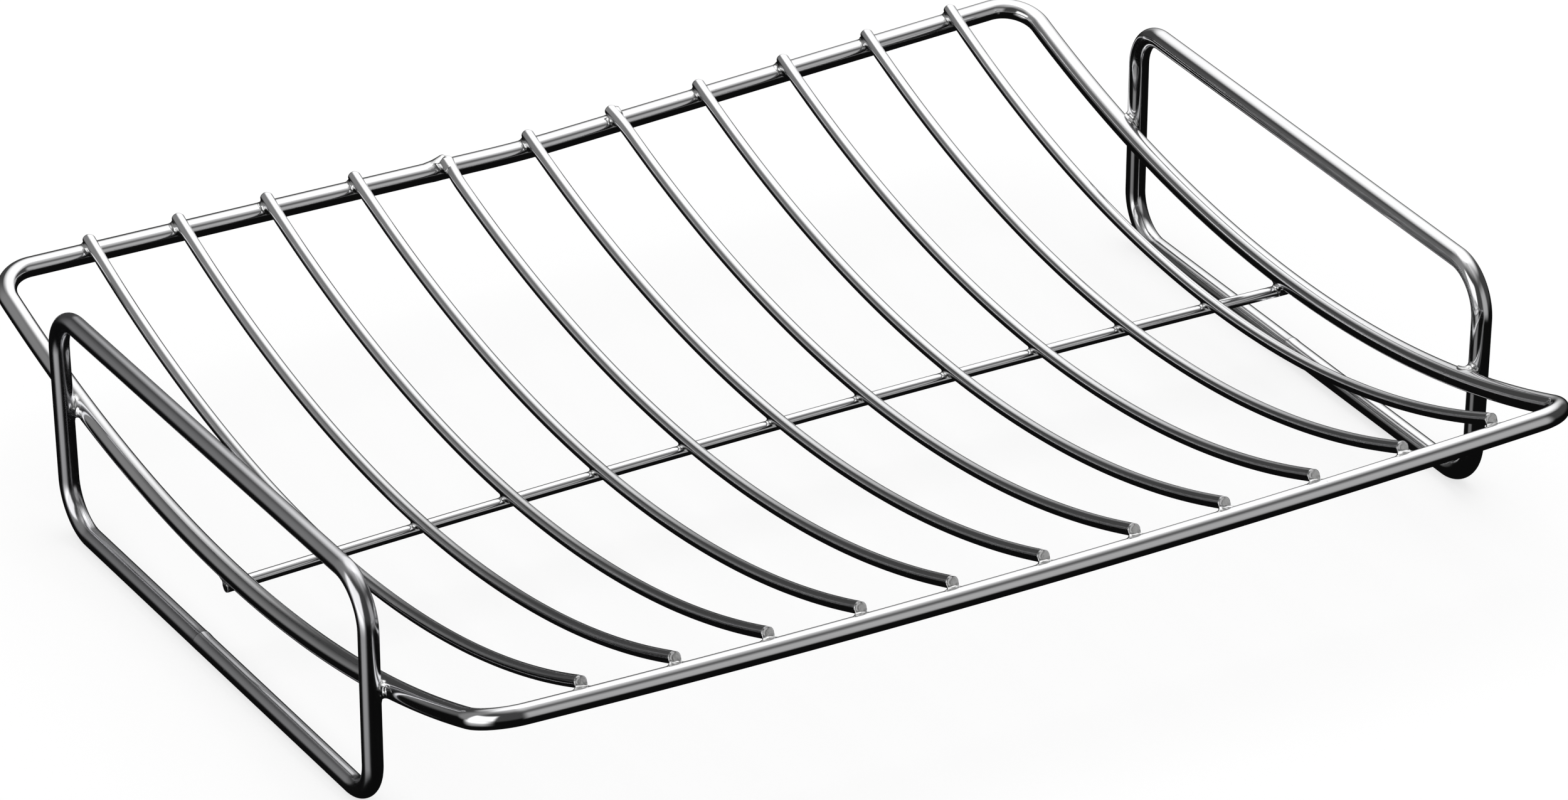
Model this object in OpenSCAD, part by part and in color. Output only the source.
// Roasting rack: a cradle of bent steel wires, resistance welded, that lifts a joint
// of meat off the floor of a roasting tin. One heavy wire runs round the rim, eleven
// thin wires hang across it, a thin keel wire ties them from below, and two closed
// loops outside the rim's ends are both feet and handles.

/* [Wires] */
// Diameter of the heavy wire of the rim and the loops
rim_wire = 6; // [4:0.1:8]
// Diameter of the thin wires across the cradle
cross_wire = 3.7; // [2.5:0.1:4.5]
// Diameter of the keel wire under them
keel_wire = 3.5; // [2.5:0.1:4.5]
// Depth that each weld presses two wires into one another
weld_sink = 0.35; // [0.2:0.05:0.6]

/* [Rim] */
// Distance between the rim's two ends, centre to centre
rim_length = 343.4; // [335:1:420]
// Distance between the two long rails, centre to centre
rim_width = 308.8; // [280:1:360]
// Height of the rails' centre over the table, at mid length
rail_height = 51; // [46:0.5:70]
// Radius of the rim's corner bends, on the wire's centre
corner_bend = 11.4; // [9:0.1:25]
// Slope at which the rim's ends leave the corners, in degrees
end_slope = 18.5; // [14:0.5:19]
// Lift of the back rail's left corner over its middle
back_left_lift = 4.6; // [2:0.1:7]
// Lift of the back rail's right corner over its middle
back_right_lift = 6.2; // [2:0.1:8]
// Radius of the slight bend in the back rail
back_bend = 375; // [200:25:600]
// Lift of the front rail's two corners over its middle
front_lift = 4.7; // [2:0.1:7]
// How far the front rail's middle is drawn inwards
front_draw = 1.9; // [0.5:0.1:4]

/* [Cross wires] */
// Number of wires across the cradle
cross_count = 11; // [5:1:11]
// Distance from the rim's left end to the first wire, centre to centre
left_gap = 30.45; // [20:0.05:45]
// Distance from the last wire to the rim's right end, centre to centre
right_gap = 25.45; // [20:0.05:45]
// How far each wire runs on past the middle of its weld on the back rail
back_overhang = 1.6; // [0.5:0.1:6]
// How far each wire stops short of the middle of its weld on the front rail
front_shortfall = 1.1; // [-3:0.1:1.5]

/* [Keel] */
// Distance of the keel behind the middle of the rack, on average
keel_back = 4; // [0:0.5:20]
// How far the keel's two ends lie in front of its middle
keel_bow = 2; // [0.5:0.1:4]
// Height of the keel's middle over the line between its ends
keel_crown = 1.3; // [0.5:0.1:2]
// Radius of the small bends between the cross wires that make up the keel's bow
keel_bend = 1000; // [300:50:1500]
// How far the keel runs out past the rim's left end
keel_left_end = 3.6; // [1:0.1:10]
// How far the keel runs on past the middle of its weld under the rim's right end
keel_right_end = 1.2; // [0.5:0.1:10]

/* [Left loop] */
// Length of the left loop's top run, corner to corner
left_top = 195; // [150:1:220]
// How much shorter the left loop's foot is than its top run
left_taper = 3.6; // [0:0.1:20]
// How far the left loop's foot lies behind its top run
left_rake = 3; // [0:0.1:8]
// Distance of the left loop's middle behind the middle of the rack
left_back = 0.9; // [-6:0.1:6]
// Height of the left top run's centre over the table
left_height = 71.95; // [64:0.05:95]
// How much higher the left top run is at its front than at its back
left_tilt = 0.9; // [-3:0.1:3]

/* [Right loop] */
// Length of the right loop's top run, corner to corner
right_top = 191.5; // [150:1:220]
// How much shorter the right loop's foot is than its top run
right_taper = 2; // [0:0.1:20]
// How far the right loop's foot lies behind its top run
right_rake = 3.5; // [0:0.1:8]
// Distance of the right loop's middle behind the middle of the rack
right_back = 0.4; // [-6:0.1:6]
// Height of the right top run's centre over the table
right_height = 71.45; // [64:0.05:95]
// How much lower the right top run is at its front than at its back
right_tilt = 1.1; // [-3:0.1:3]

/* [Both loops] */
// How much further out the top runs lie than the feet
loop_splay = 1.3; // [0.5:0.1:4]
// Radius of the loops' bends, on the wire's centre
loop_bend = 13.5; // [10:0.5:25]

/* [Welds] */
// Radius of the metal squeezed out where a thin wire crosses a rail
rail_bead = 2.7; // [2.4:0.1:3]
// Radius of the metal squeezed out where a thin wire crosses the keel
keel_bead = 2.4; // [2.1:0.1:2.8]
// Radius of the metal squeezed out where a loop meets the rim
loop_bead = 3.5; // [2.6:0.1:4]

/* [Hidden] */
CROSS = [for (i = [1 : cross_count]) str("cross_wire_", i < 10 ? "0" : "", i)];

// Sides of a wire's round section and of a weld bead, and steps of a full turn of a
// tight and a wide bend
wire_sides = 32;
bead_sides = 96;
bend_steps = 72;
wide_steps = 720;
// A straight is a hair thinner than the bends that it runs into, and reaches into them
straight_thinning = 0.06;
straight_reach = 0.15;
// Shortest straight left between two bends
shortest_straight = 1;
// Length of wire to each side of a weld that its weld metal can reach
bead_reach = 6;

half_length = rim_length / 2;
half_width = rim_width / 2;

function unit(v) = v / norm(v);
function flat(x, p) = [x, p[0], p[1]];
// Angle turned through at corner b on the way from a to c
function turn(a, b, c) = 180 - acos(unit(a - b) * unit(c - b));
// Length of each leg that a bend of radius r takes up at corner b
function take(a, b, c, r) = r * tan(turn(a, b, c) / 2);
// Radius of the bend at corner b that fills the legs, less what is kept of each
function filling(a, b, c, keep) =
    (min(norm(a - b), norm(c - b)) - keep) / tan(turn(a, b, c) / 2);
// Middle of the wire's sweep round corner b
function crest(a, b, c, r) =
    b + unit(unit(a - b) + unit(c - b)) * r * (1 / cos(turn(a, b, c) / 2) - 1);

// Corners of the rim, named by side and end
back_left = [-half_length, half_width, rail_height + back_left_lift];
back_right = [half_length, half_width, rail_height + back_right_lift];
front_left = [-half_length, -half_width, rail_height + front_lift];
front_right = [half_length, -half_width, rail_height + front_lift];
back_middle = [0, half_width, rail_height];
// The front rail is one shallow sweep: its legs meet beyond the sweep's own middle
bow_reach = 2 * half_length / (half_length + corner_bend);
front_middle = [0, front_draw * bow_reach - half_width, rail_height + front_lift - front_lift * bow_reach];
kept = corner_bend + shortest_straight;
front_bow = filling(front_left, front_middle, front_right, kept);
front_crest = crest(front_left, front_middle, front_right, front_bow);
bow_side = unit(front_left + front_right - 2 * front_middle);
// Each end is one sweep too, and its legs meet below the wire's lowest place
function leg_drop(back, front) = (back[2] + front[2]) / 2 - half_width * tan(end_slope);
left_low = [-half_length, 0, leg_drop(back_left, front_left)];
right_low = [half_length, 0, leg_drop(back_right, front_right)];
left_sweep = filling(back_left, left_low, front_left, kept);
right_sweep = filling(back_right, right_low, front_right, kept);
left_dip = crest(back_left, left_low, front_left, left_sweep);
right_dip = crest(back_right, right_low, front_right, right_sweep);

// Centre of each rail at a place x along the rack, as [y, z]
back_take = take(back_left, back_middle, back_right, back_bend);
function back_rise(x) = (x < 0 ? back_left_lift : back_right_lift) * abs(x) / half_length
    + pow(max(0, back_take - abs(x)), 2) / back_bend / 2;
function back_rail(x) = [half_width, rail_height + back_rise(x)];
function bow_at(x) = front_crest + bow_side * (front_bow - sqrt(front_bow * front_bow - x * x));
function front_rail(x) = [bow_at(x)[1], bow_at(x)[2]];

// Distances between the centres of two welded wires
rail_seat = (rim_wire + cross_wire) / 2 - weld_sink;
keel_seat = (keel_wire + cross_wire) / 2 - weld_sink;
rim_keel_seat = (rim_wire + keel_wire) / 2 - weld_sink;
loop_seat = rim_wire - weld_sink;

// Where the cross wires stand along the rack
cross_pitch = (rim_length - left_gap - right_gap) / (cross_count - 1);
function cross_x(i) = left_gap - half_length + (i - 1) * cross_pitch;

// The keel hangs under the rim's two ends. It runs straight past each cross wire, and a
// small bend in each space between them lifts and sets back its middle.
keel_left = [-half_length, keel_back - keel_bow / 2, left_dip[2] - rim_keel_seat];
keel_right = [half_length, keel_back - keel_bow / 2, right_dip[2] - rim_keel_seat];
function keel_curve(x) = let (t = x / half_length)
    (keel_left * (1 - t) + keel_right * (1 + t)) / 2 + [0, keel_bow, keel_crown] * (1 - t * t);
keel_corners = [keel_left, for (i = [1 : cross_count - 1]) keel_curve(cross_x(i + 0.5)), keel_right];
keel_last = len(keel_corners) - 1;
function keel_leg(x) = max([0, for (i = [1 : keel_last - 1]) if (keel_corners[i][0] <= x) i]);
function keel_line(x) = let (a = keel_corners[keel_leg(x)], b = keel_corners[keel_leg(x) + 1])
    a + (b - a) * (x - a[0]) / (b[0] - a[0]);
function keel_take(i) = i == 0 || i == keel_last ? 0
    : take(keel_corners[i - 1], keel_corners[i], keel_corners[i + 1], keel_bend) - straight_reach;
function keel_place(x) = [keel_line(x)[1], keel_line(x)[2]];

// Each cross wire is one arc in an upright plane. Its circle clears both rails and the
// keel by the seats: a circle through three centres, made smaller by one seat.
function circle_centre(a, b, c) =
    let (
        p = 2 * (a - b), q = 2 * (c - b),
        s = a * a - b * b, t = c * c - b * b,
        d = p[0] * q[1] - p[1] * q[0]
    )
    [(s * q[1] - t * p[1]) / d, (p[0] * t - q[0] * s) / d];
function keel_lowered(x) = keel_place(x) - [0, rail_seat - keel_seat];
function arc_centre(x) = circle_centre(back_rail(x), keel_lowered(x), front_rail(x));
function arc_radius(x) = norm(back_rail(x) - arc_centre(x)) - rail_seat;
function direction(from, to) = atan2(to[1] - from[1], to[0] - from[0]);
function arc_start(x) = direction(arc_centre(x), front_rail(x)) + front_shortfall / arc_radius(x) * 180 / PI;
function arc_end(x) = direction(arc_centre(x), back_rail(x)) + back_overhang / arc_radius(x) * 180 / PI;
// Where the wire presses on a rail or on the keel
function touch(x, place, half_wire) =
    arc_centre(x) + unit(place - arc_centre(x)) * (norm(place - arc_centre(x)) - half_wire);

// Half-way height of a rim end beside the loop's uprights
function dip_height(dip, sweep, y) = dip[2] + sweep - sqrt(sweep * sweep - y * y);

// A straight wire from a to b
module straight(a, b, wire) {
    way = b - a;
    translate(a)
        rotate([0, acos(way[2] / norm(way)), atan2(way[1], way[0])])
            cylinder(h = norm(way), d = wire, $fn = wire_sides);
}

// The wire's sweep round corner b, on the way from a to c, laid from where it starts
module bend(a, b, c, r, wire) {
    turned = turn(a, b, c);
    begin = b + unit(a - b) * take(a, b, c, r);
    along = unit(b - a);
    inward = unit(unit(a - b) + unit(c - b));
    out = unit(along * (along * inward) - inward);
    side = cross(out, along);
    multmatrix([
        [out[0], along[0], side[0], begin[0]],
        [out[1], along[1], side[1], begin[1]],
        [out[2], along[2], side[2], begin[2]]
    ])
        translate([-r, 0, 0])
            rotate_extrude(angle = turned, $fn = r > 4 * rim_wire ? wide_steps : bend_steps)
                translate([r, 0])
                    circle(d = wire, $fn = wire_sides);
}

// A closed ring of wire bent at its corners, each with its own radius
module bent_ring(corners, radii, wire) {
    n = len(corners);
    for (i = [0 : n - 1]) {
        a = corners[(i + n - 1) % n];
        b = corners[i];
        c = corners[(i + 1) % n];
        d = corners[(i + 2) % n];
        bend(a, b, c, radii[i], wire);
        from = b + unit(c - b) * (take(a, b, c, radii[i]) - straight_reach);
        to = c + unit(b - c) * (take(b, c, d, radii[(i + 1) % n]) - straight_reach);
        straight(from, to, wire - straight_thinning);
    }
}

module rim_shape() {
    bent_ring(
        [back_left, back_middle, back_right, right_low, front_right, front_middle, front_left, left_low],
        [corner_bend, back_bend, corner_bend, right_sweep, corner_bend, front_bow, corner_bend, left_sweep],
        rim_wire
    );
}

module rim_frame() {
    color("silver") rim_shape();
}

// An upright arc of wire at x, before its seats are pressed into it
module cross_shape(x) {
    multmatrix([
        [0, 0, 1, x],
        [1, 0, 0, arc_centre(x)[0]],
        [0, 1, 0, arc_centre(x)[1]]
    ])
        rotate_extrude(angle = arc_end(x) - arc_start(x), start = arc_start(x), $fn = wide_steps)
            translate([arc_radius(x), 0])
                circle(d = cross_wire, $fn = wire_sides);
}

module cross_wire_at(i) {
    color("gainsboro")
        difference() {
            cross_shape(cross_x(i));
            rim_shape();
        }
}

module keel_shape() {
    left_tail = keel_left - [keel_left_end, 0, 0];
    right_tail = keel_right + [keel_right_end, 0, 0];
    for (i = [1 : keel_last - 1])
        bend(keel_corners[i - 1], keel_corners[i], keel_corners[i + 1], keel_bend, keel_wire);
    for (i = [0 : keel_last - 1]) {
        a = keel_corners[i];
        b = keel_corners[i + 1];
        straight(a + unit(b - a) * keel_take(i), b - unit(b - a) * keel_take(i + 1),
            keel_wire - straight_thinning);
    }
    straight(left_tail, keel_left, keel_wire);
    straight(keel_right, right_tail, keel_wire);
}

module keel_wire_piece() {
    color("gainsboro")
        difference() {
            keel_shape();
            for (i = [1 : cross_count]) cross_shape(cross_x(i));
            rim_shape();
        }
}

// A closed loop outside one end of the rim: side is -1 for the left, 1 for the right
function weld_height(dip, sweep, top) = dip_height(dip, sweep, top / 2);
function loop_corners(side, dip, sweep, top, taper, rake, back, height, tilt) =
    let (
        foot = top - taper, foot_z = rim_wire / 2, level = weld_height(dip, sweep, top),
        top_y = back - rake / 2, foot_y = back + rake / 2,
        back_z = height - tilt / 2, front_z = height + tilt / 2,
        out = half_length + loop_seat, lean = loop_splay / (height - foot_z)
    )
    [
        [side * (out + lean * (back_z - level)), top_y + top / 2, back_z],
        [side * (out + lean * (front_z - level)), top_y - top / 2, front_z],
        [side * (out + lean * (foot_z - level)), foot_y - foot / 2, foot_z],
        [side * (out + lean * (foot_z - level)), foot_y + foot / 2, foot_z]
    ];
left_loop = loop_corners(-1, left_dip, left_sweep, left_top, left_taper, left_rake, left_back,
    left_height, left_tilt);
right_loop = loop_corners(1, right_dip, right_sweep, right_top, right_taper, right_rake, right_back,
    right_height, -right_tilt);

module end_loop(corners) {
    color("dimgray")
        difference() {
            bent_ring(corners, [for (c = corners) loop_bend], rim_wire);
            rim_shape();
        }
}
module left_end_loop() end_loop(left_loop);
module right_end_loop() end_loop(right_loop);

// Weld metal in the nook round the place where two wires touch: a drop with both wires'
// own room taken out of it. Over so short a reach each wire counts as straight. The
// drop's poles stand upright, or lie along the rack with a lean of a quarter turn.
module bead(at, radius, first, first_way, first_wire, second_from, second_way, second_wire, lean = 0) {
    difference() {
        translate(at) rotate([0, lean, 0]) sphere(r = radius, $fn = bead_sides);
        straight(first - first_way * bead_reach, first + first_way * bead_reach, first_wire);
        straight(second_from, second_from + second_way * bead_reach * 2, second_wire);
    }
}

// The cross wire's own centre beside its weld, and its way along the arc there
function near_centre(x, place) = arc_centre(x) + unit(place - arc_centre(x)) * arc_radius(x);
function arc_way(x, place) =
    let (out = unit(place - arc_centre(x))) [-out[1], out[0]];
function bow_way(x) = unit(bow_at(x + 1) - bow_at(x - 1));
function back_way(x) = unit([2, 0, back_rise(x + 1) - back_rise(x - 1)]);
function keel_way(x) = unit([2, keel_place(x + 1)[0] - keel_place(x - 1)[0],
    keel_place(x + 1)[1] - keel_place(x - 1)[1]]);

module back_rail_welds() {
    color("whitesmoke")
        for (i = [1 : cross_count]) {
            x = cross_x(i);
            place = back_rail(x);
            way = arc_way(x, place);
            stop = near_centre(x, place) + way * back_overhang;
            bead(flat(x, touch(x, place, rim_wire / 2)), rail_bead, flat(x, place), back_way(x), rim_wire,
                flat(x, stop), flat(0, -way), cross_wire);
        }
}

module front_rail_welds() {
    color("whitesmoke")
        for (i = [1 : cross_count]) {
            x = cross_x(i);
            place = front_rail(x);
            way = arc_way(x, place);
            stop = near_centre(x, place) + way * front_shortfall;
            bead(flat(x, touch(x, place, rim_wire / 2) + way * front_shortfall), rail_bead,
                flat(x, place), bow_way(x), rim_wire, flat(x, stop), flat(0, way), cross_wire);
        }
}

module keel_welds() {
    color("whitesmoke")
        for (i = [1 : cross_count]) {
            x = cross_x(i);
            place = keel_place(x);
            way = arc_way(x, place);
            bead(flat(x, touch(x, place, keel_wire / 2)), keel_bead, flat(x, place), keel_way(x), keel_wire,
                flat(x, near_centre(x, place) - way * bead_reach), flat(0, way), cross_wire);
        }
}

module keel_end_welds() {
    color("whitesmoke")
        for (dip = [[keel_left, left_dip], [keel_right, right_dip]])
            bead(dip[0] + [0, 0, (keel_wire - weld_sink) / 2], keel_bead, [dip[0][0], dip[0][1], dip[1][2]],
                [0, 1, 0], rim_wire, dip[0] - [bead_reach, 0, 0], [1, 0, 0], keel_wire);
}

// The point of an upright, from its top corner to its foot, at height z
function upright(top, foot, z) = foot + (top - foot) * (z - foot[2]) / (top[2] - foot[2]);
// The rim end's own centre at y, and its way along the sweep there
function sweep_at(dip, sweep, y) = [dip[0], y, dip_height(dip, sweep, y)];
module loop_welds() {
    color("whitesmoke")
        for (side = [-1, 1], end = [0, 1]) {
            corners = side < 0 ? left_loop : right_loop;
            dip = side < 0 ? left_dip : right_dip;
            sweep = side < 0 ? left_sweep : right_sweep;
            top = corners[end];
            foot = corners[3 - end];
            y = upright(top, foot, weld_height(dip, sweep, norm(corners[0] - corners[1])))[1];
            rail = sweep_at(dip, sweep, y);
            way = unit(sweep_at(dip, sweep, y + 1) - sweep_at(dip, sweep, y - 1));
            up = unit(top - foot);
            bead(rail + [side * (rim_wire - weld_sink) / 2, 0, 0], loop_bead, rail, way, rim_wire,
                upright(top, foot, rail[2]) - up * bead_reach, up, rim_wire - straight_thinning, 90);
        }
}

rim_frame();
for (i = [1 : cross_count]) cross_wire_at(i);
keel_wire_piece();  // keel_wire
left_end_loop();
right_end_loop();
back_rail_welds();
front_rail_welds();
keel_welds();
keel_end_welds();
loop_welds();
